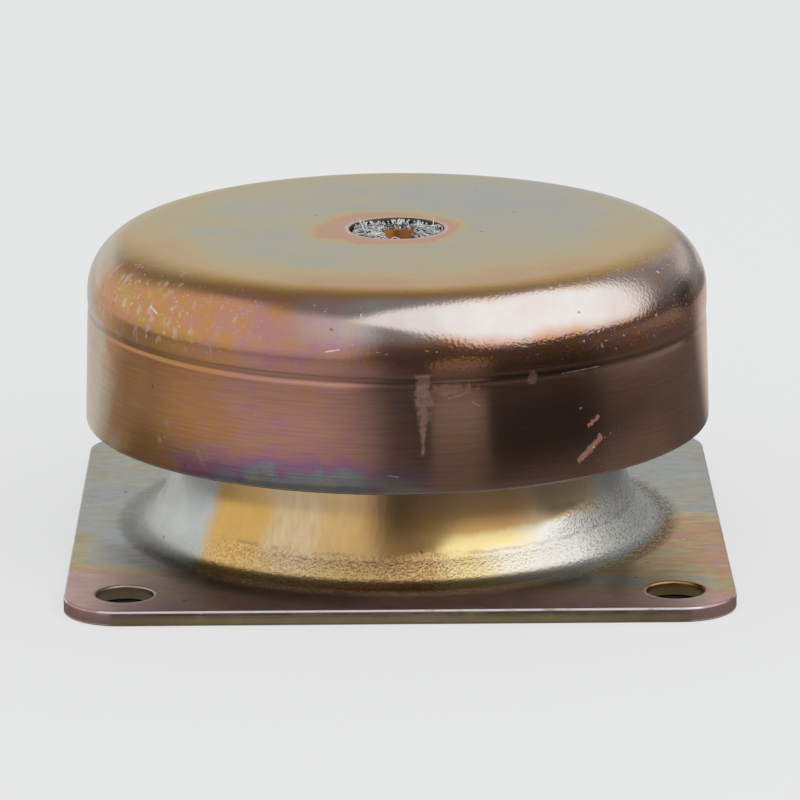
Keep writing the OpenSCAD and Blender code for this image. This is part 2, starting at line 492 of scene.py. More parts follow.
def finished(bm, name, node, body, slot, *finishes, hidden=None):
    """Make the piece. Faces for which hidden is true get the second finish."""
    bmesh.ops.remove_doubles(bm, verts=bm.verts, dist=0.001)
    bmesh.ops.recalc_face_normals(bm, faces=bm.faces)
    for face in bm.faces:
        if hidden and hidden(face):
            face.material_index = 1
    bmesh.ops.scale(bm, vec=(MM, MM, MM), verts=bm.verts)
    mesh = bpy.data.meshes.new(name)
    bm.to_mesh(mesh)
    open_edges = sum(1 for e in bm.edges if not e.is_manifold)
    bm.free()
    mesh.shade_smooth()
    for finish in finishes:
        mesh.materials.append(finish)
    piece = bpy.data.objects.new(name, mesh)
    scene_objects.link(piece)
    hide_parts(node)
    if body:
        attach(piece, body)
    low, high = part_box(node)
    cad = [round((b - a) / MM, 2) for a, b in zip(low, high)]
    size = [round(max(v.co[i] for v in mesh.vertices) / MM - min(v.co[i] for v in mesh.vertices) / MM, 2)
            for i in range(3)]
    print(f"{name}: {len(mesh.polygons)} faces, {open_edges} open edges, {size} mm, packed {cad} mm")
    return piece


# %% [markdown]
# ## Yellow-passivated zinc
# The steel is zinc plated and then dipped in a chromate bath, which leaves a glassy film. Its colour
# is no pigment: the film is so thin that it shows interference colours, as oil on water does, and
# each thickness has its own. Painting the patches by hand would look like paint. So every finish
# below works out one number, the film's thickness from 0 to 1, and one ramp turns it into the colour.
# Neighbouring patches then pass through the right colours on the way: blue-grey, olive, straw gold,
# orange, copper, pink, magenta, violet, and blue-green.

# %% Film colours by thickness
FILM = (
    (0.00, (0.45, 0.49, 0.47)),
    (0.12, (0.56, 0.51, 0.30)),
    (0.26, (0.68, 0.48, 0.17)),
    (0.38, (0.66, 0.36, 0.12)),
    (0.48, (0.70, 0.33, 0.17)),
    (0.58, (0.64, 0.34, 0.26)),
    (0.68, (0.62, 0.29, 0.35)),
    (0.78, (0.50, 0.26, 0.44)),
    (0.88, (0.40, 0.43, 0.47)),
    (1.00, (0.53, 0.49, 0.36)),
)
BARE_ZINC = (0.83, 0.82, 0.81)
UMBER = (0.09, 0.065, 0.05)


def film_colour(f, thickness):
    return f.node("ValToRGB", [thickness], stops=FILM)


# %% Hollow finish, for the insides of the cup and the dome, painted dark as painted shade
def painted_shade_hollow_finish():
    f = Finish(bpy.data.materials.new("plated_hollow_painted_shade"))
    cloud = f.noise(14, 91)
    # painted shade: the same plating as outside, coloured much darker because it lies in the cup's and the
    # dome's shade
    colour = f.mix(cloud.step(0.3, 0.7), (0.13, 0.115, 0.09), (0.22, 0.18, 0.12))
    grain = f.noise(0.6, 92)
    return f.metal(colour, 0.45 + 0.15 * cloud, f.bump(grain, 0.04))


painted_shade_hollow = painted_shade_hollow_finish()

# %% [markdown]
# ## Cup
# The cup is one disc of steel drawn over a punch. Its top stayed flat and its shoulder took the
# punch's radius. A faint groove runs round the wall where a second draw began, and below it the skirt
# widens slowly towards the rim. A subdivided cylinder would make the shoulder soft in the wrong places,
# so the section is drawn with its true bends. Short flat strips beside each bend keep the shading flat
# where the metal is.

# %% Cup: shape
CUP_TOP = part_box("cup")[1].z / MM
CUP_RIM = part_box("cup")[0].z / MM
CUP_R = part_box("cup")[1].x / MM
SHEET = 2.5
HOLE_R = 8
HOLE_EDGE = 0.3
SHOULDER_R = 10
WALL_R = 52.45
LINE_Z = CUP_TOP - 13.05
LINE_DEPTH = 0.09
LINE_ASKEW = 0.012
LEDGE_Z = LINE_Z - 0.6
STEP_Z = LEDGE_Z - 0.8
SKIRT_R = WALL_R + 0.02
RIM_EDGE = 0.4
STRIP = 1

shoulder_r = WALL_R - SHOULDER_R
shoulder_z = CUP_TOP - SHOULDER_R
under = CUP_TOP - SHEET
cup = Section(HOLE_R + HOLE_EDGE, CUP_TOP)
cup.line(HOLE_R + HOLE_EDGE + STRIP, CUP_TOP).line(shoulder_r - STRIP, CUP_TOP).line(shoulder_r, CUP_TOP)
cup.arc(shoulder_r, shoulder_z, -90, 20)
cup.line(WALL_R, LINE_Z + 1.9).line(WALL_R - LINE_DEPTH / 6, LINE_Z + 1.0).line(WALL_R - LINE_DEPTH, LINE_Z)
cup.line(WALL_R - LINE_DEPTH, LEDGE_Z).line(SKIRT_R, STEP_Z).line(SKIRT_R + 0.07, STEP_Z - 2 * STRIP)
cup.line(CUP_R, CUP_RIM + RIM_EDGE + STRIP).line(CUP_R, CUP_RIM + RIM_EDGE)
cup.arc(CUP_R - RIM_EDGE, CUP_RIM + RIM_EDGE, -90, 4)
cup.line(CUP_R - SHEET, CUP_RIM).line(SKIRT_R - SHEET, STEP_Z).line(WALL_R - SHEET, LINE_Z)
cup.line(WALL_R - SHEET, shoulder_z).arc(shoulder_r, shoulder_z, 90, 12)
cup.line(HOLE_R + STRIP, under).line(HOLE_R, under).line(HOLE_R, CUP_TOP - HOLE_EDGE - STRIP)
cup.line(HOLE_R, CUP_TOP - HOLE_EDGE).arc(HOLE_R + HOLE_EDGE, CUP_TOP - HOLE_EDGE, -90, 5)
cup.soften([(WALL_R - LINE_DEPTH, LINE_Z), (WALL_R - LINE_DEPTH, LEDGE_Z), (SKIRT_R, STEP_Z)], 0.2)
cup.soften([(CUP_R - SHEET, CUP_RIM), (HOLE_R, under)], 0.2, steps=2)
cup_bm = cup.turn()

# the second draw sat a little askew, so its line is 1.3 mm higher at the left than at the right
for vert in cup_bm.verts:
    near_line = STEP_Z - 2.5 * STRIP < vert.co.z < LINE_Z + 2 and vert.co.xy.length > WALL_R - 1
    if near_line:
        vert.co.z -= LINE_ASKEW * vert.co.x


# %% Cup: marks that a maker would know this cup by, as angle, height, width and height of the mark
def mark(f, angle, at, height, wide, tall, ragged):
    """A ragged patch on the wall, 1 inside and 0 outside, whose size is in mm."""
    across = (angle - at) * math.radians(CUP_R) / wide
    along = (f.z - height) / tall
    away = (across * across + along * along).root()
    return (away + ragged).step(1.3, 0.7)


def streak(f, angle, start, end, wide, ragged):
    """A thin ragged line on the wall between two places, given as (angle, height)."""
    mm = math.radians(CUP_R)
    run = Vector(((end[0] - start[0]) * mm, end[1] - start[1]))
    length = run.length
    along = ((angle - start[0]) * (mm * run.x) + (f.z - start[1]) * run.y) / (length * length)
    across = ((angle - start[0]) * (mm * run.y) - (f.z - start[1]) * run.x) / length
    inside = along.hump(0.5, 0.5, 0.04)
    return inside * (across.size() + ragged).step(wide * 1.2, wide * 0.3)


def wall_marks(f, angle):
    """How much each mark shows: a dried smear, copper marks and pale scratches."""
    ragged = 2.4 * (f.noise(0.9, 17) - 0.5)
    taper = f.z.step(29, 37)
    smear = streak(f, angle, (4.1, 40.7), (4.1, 28.0), 0.35 + 0.95 * taper, ragged * (0.3 + taper))
    smear = smear.most(0.5 * mark(f, angle, 9.0, 38.4, 3.6, 0.9, ragged))
    smear = smear.most(0.7 * mark(f, angle, 24.2, 39.2, 0.8, 1.1, ragged * 0.8))
    smear = smear.most(streak(f, angle, (8.6, 37.0), (11.6, 37.6), 0.25, ragged * 0.3))
    smear = smear * f.noise(2.4, 21).step(0.22, 0.55)
    copper = streak(f, angle, (33.4, 24.2), (38.6, 27.6), 0.62, ragged * 0.7)
    copper = copper.most(streak(f, angle, (35.6, 29.9), (38.2, 31.0), 0.42, ragged * 0.6))
    pale = streak(f, angle, (30.4, STEP_Z + 0.5), (38.4, STEP_Z + 0.6), 0.14, ragged * 0.12)
    for start, end in (((-52, 47.6), (-49.5, 46.8)), ((-13, 44.6), (-10.6, 45.0)), ((21, 45.1), (23.2, 44.4)),
                       ((13.0, 36.2), (14.2, 35.4)), ((-2, 24.4), (-0.2, 24.2))):
        pale = pale.most(streak(f, angle, start, end, 0.15, ragged * 0.2))
    return smear, copper, pale


# %% Cup: finish
def cup_finish():
    f = Finish(bpy.data.materials.new("plated_cup"))
    r = f.radius()
    angle = f.angle()
    cloud = f.noise(26, 3, at=f.stretched(0.6, 1, 1)) - 0.5
    patch = f.noise(8, 11) - 0.5
    fine = f.noise(2.6, 12) - 0.5

    # the flat top: olive, blue-grey to the back right, a straw gold band before the shoulder
    top = 0.10 + 0.34 * cloud + 0.18 * patch - 0.08 * (f.x * 0.6 + f.y).step(-5, 45) + 0.05 * f.y.step(0, -25)
    top = top + (0.08 + 0.10 * f.y.step(20, -20)) * (r + 4 * patch).step(28, 42)
    halo = (r + 7 * patch + 7 * cloud + 0.12 * f.x).step(15, 8.5)
    top = top.blend(0.52, halo)

    # the sides: orange at the far left, copper and pink in the middle, a rainbow above the lower left rim
    wall = f.z.step(42.5, 40.5)
    blotch = f.noise(3.4, 19) - 0.5
    brushed = f.noise(1, 20, at=f.stretched(0.12, 0.12, 2.6)) - 0.5
    side = 0.52 + 0.16 * cloud + 0.14 * patch + 0.14 * fine + 0.08 * brushed
    side = side + (0.22 + 0.22 * (1 - wall)) * blotch
    side = side - 0.10 * (angle + 40 * patch).hump(-62, 26, 12) + 0.07 * angle.hump(-18, 14, 16)
    low = (f.z + 10 * cloud + 10 * patch + 9 * blotch).step(28, 21.5)
    side = side + (0.36 + 0.5 * blotch) * low * (angle + 16 * cloud).hump(-20, 22, 8)
    on_side = (r + 2 * patch).step(45.5, 48.8)

    # thin film: the shoulder's front right is nearly bare, and the far left is olive and cream
    washed = (f.z + 3 * patch).step(44.8, 47.8) * on_side * (angle + 20 * cloud + 14 * patch).step(-26, 6)
    washed = washed * (0.92 + 0.5 * (f.noise(5, 18) - 0.5) - 0.4 * angle.step(34, 62)) * f.not_back()
    cream = 0.75 * (angle + 24 * patch + 9 * (1 - wall)).step(-60, -70) * on_side * f.not_back()
    # painted shade: umber over the shoulder's front, a little left of the middle
    shade = 0.10 * angle.hump(-8, 10, 14) * (1 - wall) * on_side
    # painted shade: umber along the groove where the second draw began
    groove_shade = (f.z + LINE_ASKEW * f.x).hump(LEDGE_Z + 0.4, 0.35, 0.4)
    smear, copper, pale = wall_marks(f, angle)
    colour = f.coats(
        film_colour(f, top.blend(side, on_side)),
        (0.5 * (f.z.step(43, 38) * angle.hump(38, 38, 10)), (0.60, 0.42, 0.33)),
        (washed, BARE_ZINC),
        (cream, (0.70, 0.65, 0.50)),
        (0.10 + shade + 0.5 * brushed * wall, UMBER),
        (0.35 * wall * angle.hump(27, 9, 6), UMBER),
        (0.35 * groove_shade * wall, UMBER),
        (0.35 * smear, (0.12, 0.060, 0.038)),
        (copper, (0.33, 0.14, 0.10)),
    )

    # wear: bare zinc in scuffs, specks and short scratches, mostly on the shoulder, and umber nicks
    shoulder = f.z.hump(47.5, 4.5, 3)
    right = angle.step(18, 44) * f.not_back()
    left = angle.hump(-52, 16, 14)
    wear = (0.10 + 0.34 * right + 0.16 * left) * shoulder
    worn = (f.noise(7, 5, detail=2) + wear - 0.12 * (1 - on_side)).step(0.60, 0.80)
    specks = f.noise(0.7, 1, detail=2).step(0.66, 0.74) * worn + f.specks(12, 0.7, 2) * 0.6
    scuffs = f.noise(1.5, 4, detail=4, at=f.stretched(1, 1, 0.6)).step(0.54, 0.68) * worn * left
    specks = specks.most(0.45 * scuffs)
    for seed, turn in enumerate(((0.3, 0.2, 0.9), (1.2, 0.4, 2.2), (0.7, 1.1, 0.1))):
        marks = f.specks(1, 0.30, 20 + seed, at=f.stretched(0.30, 1.3, 1.3, turn))
        specks = specks.most(0.5 * marks * (f.noise(9, 30 + seed) + wear).step(0.66, 0.80))
    burnished = f.z.step(CUP_RIM + 0.5, CUP_RIM + 0.15) * f.noise(5, 8).step(0.25, 0.50)
    # bare zinc worn round the hole's edge, pale partly as a painted highlight on the rounded edge
    hole_edge_wear_and_glint = (r + 0.6 * fine).step(9.0, 8.5) * f.z.step(CUP_TOP - 1.2, CUP_TOP - 0.6)
    bare = specks.most(burnished).most(pale).most(0.75 * hole_edge_wear_and_glint)
    by_rim = f.z.step(CUP_RIM + 1.0, CUP_RIM + 0.2) * angle.hump(-70, 58, 18)
    nicks = (f.specks(9, 0.8, 41) * 0.6).most(f.specks(5, 1.4, 42) * by_rim)
    zinc = f.mix(hole_edge_wear_and_glint, BARE_ZINC, (0.80, 0.66, 0.58))
    colour = f.coats(colour, (bare, zinc), (nicks, UMBER))

    peel = f.noise(0.6, 13, detail=2)
    rough_right = shoulder * angle.step(0, 10) * f.not_back()
    lines = f.noise(1, 14, detail=2, at=f.stretched(0.04, 0.04, 3.2))
    roughness = 0.11 + 0.08 * f.noise(12, 15) + 0.10 * bare + 0.10 * nicks + 0.07 * (1 - on_side)
    roughness = roughness + 0.30 * specks
    relief = (0.15 + 1.6 * rough_right + 0.35 * shoulder) * peel + 0.15 * lines * on_side
    relief = relief - 0.9 * copper + 5 * f.noise(22, 16, detail=1)
    return f.metal(colour, roughness, f.bump(relief, 0.02), metallic=1 - (0.4 * smear).most(0.85 * copper))


def inside_cup(face):
    """The inner wall and the underside: faces that look towards the axis or down, above the rim."""
    centre = face.calc_center_median()
    inwards = face.normal.x * centre.x + face.normal.y * centre.y < -0.1 * CUP_R
    return centre.z > CUP_RIM + 0.1 and centre.length > 12 and (inwards or face.normal.z < -0.5)


finished(cup_bm, "cup_shell", "cup", "cup_side", "plated_cup", cup_finish(), painted_shade_hollow, hidden=inside_cup)

# %% [markdown]
# ## Base
# The base is one drawn sheet too: a square flange, a grainy flare where the steel was stretched most,
# and a leaning wall that rises into the cup and turns in on itself. The dome is a section for the pen.
# The flange is a square whose corners are bevelled, extruded to the sheet's thickness, with its sheared
# edges rolled over. Its flat faces come last: one fill runs between the outline, the bolt holes and
# the dome's foot.

# %% Base: dome
PLATE_W = (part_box("base")[1].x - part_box("base")[0].x) / MM
BOLT_R = 4.75
BOLT_AT = PLATE_W / 2 - 10
BOLT_EDGE = 0.2
FOOT_R = 48
FLARE_R = 8.5
CONE = 34
HEEL_R = 3.3
LEAN = 10
KNEE = 22
KNEE_R = 26
DOME_H = 31
BEND_R = 6
MOUTH_R = 12


def slope(degrees):
    """The way that a wall faces in section when it leans by so many degrees."""
    return Vector((math.cos(math.radians(degrees)), math.sin(math.radians(degrees))))


lean = slope(LEAN)
flare_c = Vector((FOOT_R, SHEET + FLARE_R))
flare_end = flare_c - FLARE_R * lean
bend_start_z = DOME_H - BEND_R * (1 - lean.y)
bend_start = Vector((flare_end.x - (bend_start_z - flare_end.y) * lean.y / lean.x, bend_start_z))
bend_c = bend_start - BEND_R * lean
lip_r = MOUTH_R + SHEET / 2

cone = slope(CONE)
cone_top = flare_c - FLARE_R * cone
heel_top_z = SHEET + HEEL_R * (1 - cone.y)
cone_foot = Vector((cone_top.x + (cone_top.y - heel_top_z) * cone.y / cone.x, heel_top_z))
heel_c = cone_foot + HEEL_R * cone
knee = flare_c - FLARE_R * slope(KNEE)
knee_c = knee + KNEE_R * slope(KNEE)
knee_end = knee_c - KNEE_R * lean

dome = Section(FOOT_R + 2 * STRIP, SHEET)
dome.line(FOOT_R + STRIP, SHEET).line(heel_c.x + STRIP, SHEET).line(heel_c.x, SHEET)
dome.arc(*heel_c, CONE - 90, 8).line(*cone_top).arc(*flare_c, KNEE - CONE, 10).arc(*knee_c, LEAN - KNEE, 6)
for share in (0.06, 0.94):
    dome.line(*knee_end.lerp(bend_start, share))
dome.line(*bend_start).arc(*bend_c, 90 - LEAN, 10).line(lip_r, DOME_H)
dome.arc(lip_r, DOME_H - SHEET / 2, 180, 8).line(bend_c.x, DOME_H - SHEET)
dome.arc(*bend_c, LEAN - 90, 8).line(*(flare_end - SHEET * lean)).arc(*flare_c, 90 - LEAN, 14)
dome.line(FOOT_R + STRIP, 0).line(FOOT_R + 2 * STRIP, 0)
base_bm = dome.turn()
print("dome foot to wall, mm:", [round(c, 2) for c in flare_end])

# %% Base: bolt holes
rim_r = BOLT_R + BOLT_EDGE
corners = [(rim_r, SHEET), (BOLT_R, SHEET - BOLT_EDGE), (BOLT_R, BOLT_EDGE), (rim_r, 0)]
for x in (-BOLT_AT, BOLT_AT):
    for y in (-BOLT_AT, BOLT_AT):
        hole = Section(rim_r + STRIP / 2, SHEET)
        for r, z in corners:
            hole.line(r, z)
        hole.line(rim_r + STRIP / 2, 0).soften(corners, 0.08, steps=2)
        join(base_bm, hole.turn(steps=64, at=(x, y)))

# %% Base: flange
TOP_ROLL = 0.45
UNDER_ROLL = 0.2
flange = bmesh.new()
bmesh.ops.create_grid(flange, x_segments=1, y_segments=1, size=PLATE_W / 2)
rounded(flange, flange.verts[:], CORNER_R, 14, "VERTICES")
raised = bmesh.ops.extrude_face_region(flange, geom=flange.faces[:])["geom"]
bmesh.ops.translate(flange, vec=(0, 0, SHEET), verts=verts_of(raised))
for height, roll in ((SHEET, TOP_ROLL), (0, UNDER_ROLL)):
    edges = [e for e in flange.edges if all(abs(v.co.z - height) < 0.01 for v in e.verts)]
    rounded(flange, edges, roll, 4, "EDGES")
flats = [f for f in flange.faces if len(f.verts) > 20]
bmesh.ops.inset_region(flange, faces=flats, thickness=STRIP / 2, use_even_offset=True)
bmesh.ops.delete(flange, geom=[f for f in flange.faces if len(f.verts) > 20], context="FACES_ONLY")
join(base_bm, flange)
for height in (SHEET, 0):
    loops = [e for e in base_bm.edges if e.is_boundary and all(abs(v.co.z - height) < 0.01 for v in e.verts)]
    filled = bmesh.ops.triangle_fill(base_bm, use_beauty=True, edges=loops, normal=(0, 0, 1))
    print("flat face at", height, "mm:", len(filled["geom"]), "elements from", len(loops), "edges")


# %% Base: the flange's colours
def flange_colour(f, edge_at, from_hole, cloud, patch):
    """Zinc-grey with olive drifts at the back and sides, brown at the front, pink streaks at the right, and a
    painted shadow at the dome's foot.
    """
    film = 0.02 + 0.26 * cloud + 0.20 * patch + 0.16 * (edge_at + 5 * patch).step(49, 54) * f.y.step(0, -20)
    front = (f.y + 0.16 * f.x + 9 * cloud + 7 * patch).step(-34, -44)
    film = film + front * (0.56 + 0.2 * patch) + 0.35 * (from_hole + patch).step(6.4, 5.2)
    streaks = f.noise(1.2, 56, at=f.stretched(0.2, 1, 1)) - 0.5
    pink = f.x.step(22, 44) * (f.y + 10 * patch).hump(-19, 13, 9)
    film = film + pink * (0.34 + 1.5 * streaks)
    mottled = f.noise(1.4, 59, at=f.stretched(0.5, 1, 1)) - 0.5
    dirt = 0.18 - 0.06 * front + 0.3 * patch + 0.6 * mottled
    # painted shadow: umber round the dome's foot at the front left, added to the dirt
    foot_shadow = (f.radius() + 4 * patch).hump(48, 2, 5) * f.angle().hump(-38, 24, 14)
    dirt = dirt + 0.5 * foot_shadow
    tinted = f.mix(0.7 * front, film_colour(f, film), (0.66, 0.45, 0.36))
    return f.mix(dirt, tinted, UMBER), front


# %% Base: the dome's colours
def dome_colour(f, angle, cloud, patch, fine):
    """Blue-white zinc at the left, a sharp change to orange, gold in the middle, then zinc again."""
    across = angle + 9 * patch + 7 * cloud + 4 * fine
    right = angle + 6 * patch
    height = f.z + fine
    thin = height.step(10.8, 9.4)
    striped = f.noise(0.9, 57, at=f.stretched(1, 1, 0.08)) - 0.5
    zinc = f.mix(f.noise(5, 58), (0.50, 0.54, 0.54), (0.74, 0.77, 0.76))
    # painted shade: darker grey on the flare's sides, close to its foot
    flare_foot_shade = f.radius().step(41, 45) * across.size().step(46, 54)
    colour = f.coats(
        f.mix(across.step(-38, -16), (0.82, 0.50, 0.15), (0.76, 0.52, 0.24)),
        (across.hump(-27, 4, 7), (0.82, 0.64, 0.42)),
        (across.hump(12, 18, 9), (0.68, 0.40, 0.17)),
        (0.3 + 1.3 * striped, film_colour(f, 0.30 + 0.06 * cloud + 0.10 * patch)),
        (across.step(7, 13) * thin, (0.88, 0.72, 0.34)),
        (across.step(16, 26) * height.step(9, 6), (0.94, 0.90, 0.80)),
        (right.step(27, 38) * (0.25 + 0.75 * thin), (0.88, 0.88, 0.84)),
        (right.step(52, 64), (0.74, 0.76, 0.75)),
        (across.step(-49.5, -55.5).most(angle.step(90, 130)), zinc),
        (0.6 * flare_foot_shade, (0.42, 0.43, 0.42)),
        # the flare was stretched most: its film is thinner towards the foot, left of the middle
        (0.45 * f.z.step(6.0, 3.2) * across.hump(-24, 14, 12), (0.90, 0.60, 0.22)),
        # painted shade close below the cup
        (0.35 * height.step(12.5, 15.5), (0.34, 0.27, 0.22)),
    )
    return colour, striped


# %% Base: finish
def base_finish():
    f = Finish(bpy.data.materials.new("plated_base"))
    r = f.radius()
    angle = f.angle()
    cloud = f.noise(22, 53) - 0.5
    patch = f.noise(7, 54) - 0.5
    fine = f.noise(2.2, 55) - 0.5
    edge_at = f.x.size().most(f.y.size())
    across, along = f.x.size() - BOLT_AT, f.y.size() - BOLT_AT
    from_hole = (across * across + along * along).root()
    flange, front = flange_colour(f, edge_at, from_hole, cloud, patch)
    dome, striped = dome_colour(f, angle, cloud, patch, fine)
    # painted shade: a thin umber line round the dome, 7.2 mm up, where the wall creases into the flare
    crease_shade = (f.z + 1.1 * fine).hump(7.2, 0.10, 0.35) * angle.hump(50, 90, 10) * f.noise(3, 51).step(0.35, 0.6)
    on_dome = (r + 1.6 * patch + 1.4 * fine).step(46.4, 44.2)
    # painted shade: the bolt holes' walls are coloured near-black and dark olive
    bolt_hole_shade = from_hole.step(5.4, 5.0) * f.z.step(2.4, 2.0)
    hole = f.mix(f.noise(3, 50), (0.09, 0.05, 0.04), (0.20, 0.20, 0.09))

    # the sheared edge: brown above, olive-yellow below, a bright line where the top rolls over, and painted
    # shade
    side = edge_at.step(54.75, 54.95)
    cut = f.mix((f.z + 0.6 * patch).step(1.5, 1.1), (0.24, 0.18, 0.13), (0.34, 0.28, 0.14))
    # painted shade: umber at the foot of the edge where it meets the floor, and a painted dark reflection in
    # a line under the rolled top
    edge_shade_lines = f.z.step(0.45, 0.25).most(f.z.hump(SHEET - 0.62, 0.08, 0.12) * f.noise(6, 52).step(0.35, 0.6))
    edge_wear = f.z.hump(SHEET - 0.22, 0.10, 0.10) * edge_at.step(54, 54.5)
    specks = f.specks(6, 0.8, 61) * f.noise(12, 62).step(0.45, 0.65)
    bare = specks.most(edge_wear * f.noise(4, 63).step(0.2, 0.5))
    pits = f.specks(7, 1.0, 64)

    # the flare's orange peel: fine grains, gold at the front and strongest at the right, with painted
    # highlights and painted shade
    right = angle.step(24, 58) * f.not_back()
    grainy = (f.z - 4 * right + 0.9 * fine).step(8.8, 5.6) * r.step(37, 38.5) * r.step(48.5, 46)
    grainy = grainy * (0.35 + 0.65 * angle.hump(40, 80, 14) + 1.2 * right)
    peel = f.noise(0.42, 65, detail=2)
    crest_glint = f.mix(right, (0.94, 0.78, 0.50), (0.95, 0.95, 0.92))
    colour = f.coats(
        flange,
        (on_dome, f.mix(0.3 * crease_shade, dome, UMBER)),
        (0.8 * bolt_hole_shade, hole),
        (side * (0.4 + 1.0 * f.noise(3, 60)), cut),
        (0.7 * side * edge_shade_lines, UMBER),
        (bare, BARE_ZINC),
        (pits * 0.75, UMBER),
        # painted shade in the hollows of the grains, and below that painted highlights on their crests
        (0.45 * grainy * peel.step(0.47, 0.34) * angle.hump(-21, 29, 18), (0.30, 0.20, 0.12)),
        (0.20 * right * grainy * peel.step(0.50, 0.36), (0.16, 0.15, 0.13)),
        (0.5 * grainy.step(0, 1) * peel.step(0.50, 0.62), crest_glint),
    )
    grain = f.noise(0.35, 67, detail=2)
    roughness = 0.13 + 0.08 * f.noise(9, 68) + 0.08 * grainy + 0.12 * bare + 0.12 * (1 - on_dome) + 0.2 * side
    scraped = angle.hump(20, 13, 8) * f.z.step(8, 10)
    roughness = roughness + (0.14 * angle.size().step(46, 58) + 0.13 * scraped) * on_dome
    roughness = roughness + 0.14 * r.hump(45.5, 1.5, 2)
    waves = (3 - 2 * on_dome) * f.noise(20, 69, detail=1)
    relief = 2.6 * peel * grainy + 0.6 * striped * on_dome + 0.2 * grain + waves - 1.5 * pits
    dusty = 0.13 * front * (1 - on_dome)
    return f.metal(colour, roughness, f.bump(relief, 0.02), metallic=1 - dusty)


def under_base(face):
    """The underside and the inside of the dome."""
    return face.normal.z < -0.1 or face.calc_center_median().z < 0.01


finished(base_bm, "base_shell", "base", "base_side", "plated_base", base_finish(), painted_shade_hollow, hidden=under_base)

# %% [markdown]
# ## Bush
# The bush is a turned tube, tapped M10, whose lower end is swaged out under the rebound washer. Only
# its mouth shows, down in the wire, so a bump would do for the thread from far off. Close up the
# helix catches the light, and it costs little: a ridge with the thread's section, spun upwards.

# %% Bush: shape and thread
BUSH_LOW, BUSH_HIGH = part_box("centre_bush")
BUSH_Z = BUSH_LOW.z / MM
BUSH_TOP = BUSH_HIGH.z / MM
LIP_R = BUSH_HIGH.x / MM
BUSH_R = 6.5
LIP_T = 1.5
THREAD_R = 5
CORE_R = 4.25
PITCH = 1.5

mouth = 0.15
bush = Section(THREAD_R + mouth, BUSH_TOP).line(BUSH_R - 0.3, BUSH_TOP)
bush.arc(BUSH_R - 0.3, BUSH_TOP - 0.3, -90, 3)
bush.line(BUSH_R, BUSH_Z + LIP_T).line(LIP_R, BUSH_Z + LIP_T).line(LIP_R, BUSH_Z)
bush.line(THREAD_R + mouth, BUSH_Z).line(THREAD_R, BUSH_Z + mouth).line(THREAD_R, BUSH_TOP - mouth)
bush.close()
bush.soften([(LIP_R, BUSH_Z + LIP_T), (LIP_R, BUSH_Z)], 0.3)
bush_bm = bush.turn(steps=96)

STEPS_PER_TURN = 48
thread_low = BUSH_Z + 1.0
turns = (BUSH_TOP - 3.2 - thread_low) / PITCH
ridge = Section(THREAD_R + 0.1, thread_low - 0.55).line(CORE_R, thread_low - 0.1)
ridge.line(CORE_R, thread_low + 0.1).line(THREAD_R + 0.1, thread_low + 0.55).close()
start = bmesh.ops.contextual_create(ridge.bm, geom=ridge.bm.edges[:])["faces"]
steps = round(turns * STEPS_PER_TURN)
bmesh.ops.spin(ridge.bm, geom=start, cent=(0, 0, 0), axis=(0, 0, 1), angle=FULL * steps / STEPS_PER_TURN,
               steps=steps, dvec=(0, 0, PITCH / STEPS_PER_TURN))
join(bush_bm, ridge.bm)
print("thread:", round(turns, 1), "turns")


# %% Turned finish, for the bush and the washer
def turned_finish():
    f = Finish(bpy.data.materials.new("plated_turned"))
    cloud = f.noise(8, 71) - 0.5
    # the bore's copper film, coloured darker down the thread as painted shade
    shaded_bore = f.radius().step(5.4, 5.0) * (0.6 + 0.5 * f.noise(1.5, 75))
    dirt = f.noise(3, 72).step(0.60, 0.80) * 0.5
    colour = f.coats(film_colour(f, 0.40 + 0.24 * cloud), (shaded_bore, (0.27, 0.085, 0.025)), (dirt, UMBER))
    rings = f.noise(1, 73, at=f.stretched(0.1, 0.1, 5))
    roughness = 0.25 + 0.15 * f.noise(4, 74)
    return f.metal(colour, roughness, f.bump(rings, 0.01))


turned = turned_finish()
finished(bush_bm, "threaded_bush", "centre_bush", "cup_side", "plated_turned", turned)

# %% [markdown]
# ## Rebound washer
# A punched disc that the bush's lip carries. Punching rounds one edge and leaves the other square.

# %% Washer
washer_low, washer_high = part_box("rebound_washer")
washer_z, washer_top, washer_r = washer_low.z / MM, washer_high.z / MM, washer_high.x / MM
PUNCHED = 0.8
washer = Section(BUSH_R + 0.05, washer_z).line(washer_r - STRIP, washer_z).line(washer_r, washer_z)
washer.line(washer_r, washer_top - PUNCHED).arc(washer_r - PUNCHED, washer_top - PUNCHED, 90, 5)
washer.line(washer_r - PUNCHED - STRIP, washer_top).line(BUSH_R + 0.05, washer_top).close()
washer.soften([(washer_r, washer_z)], 0.15, steps=2)
finished(washer.turn(steps=128), "washer", "rebound_washer", "cup_side", "plated_turned", turned)

# %% [markdown]
# ## Knitted wire
# The springs are stockings of crimped stainless wire, rolled up and pressed into rings. Modelling all
# of the wire would be hopeless, and a bump alone looks like cloth. So each ring is a pressed core with
# real stitches over what can be seen of it, and real strands where the wire stands in the cup's hole:
# hairpins that lean in over the bush, a fringe of upright strands at the back, one loose end and one
# big loop at the right, and two bright straight strands at the left. A stitch is a wave that swings
# back on itself, so one row is one closed line.

# %% Wire: from a path to a strand
WIRE_R = 0.15
STITCH_STEPS = 10
SWING_BACK = 0.22


def around(r, turn, z):
    """The place at a radius, an angle from the front and a height."""
    return Vector((r * math.sin(turn), -r * math.cos(turn), z))


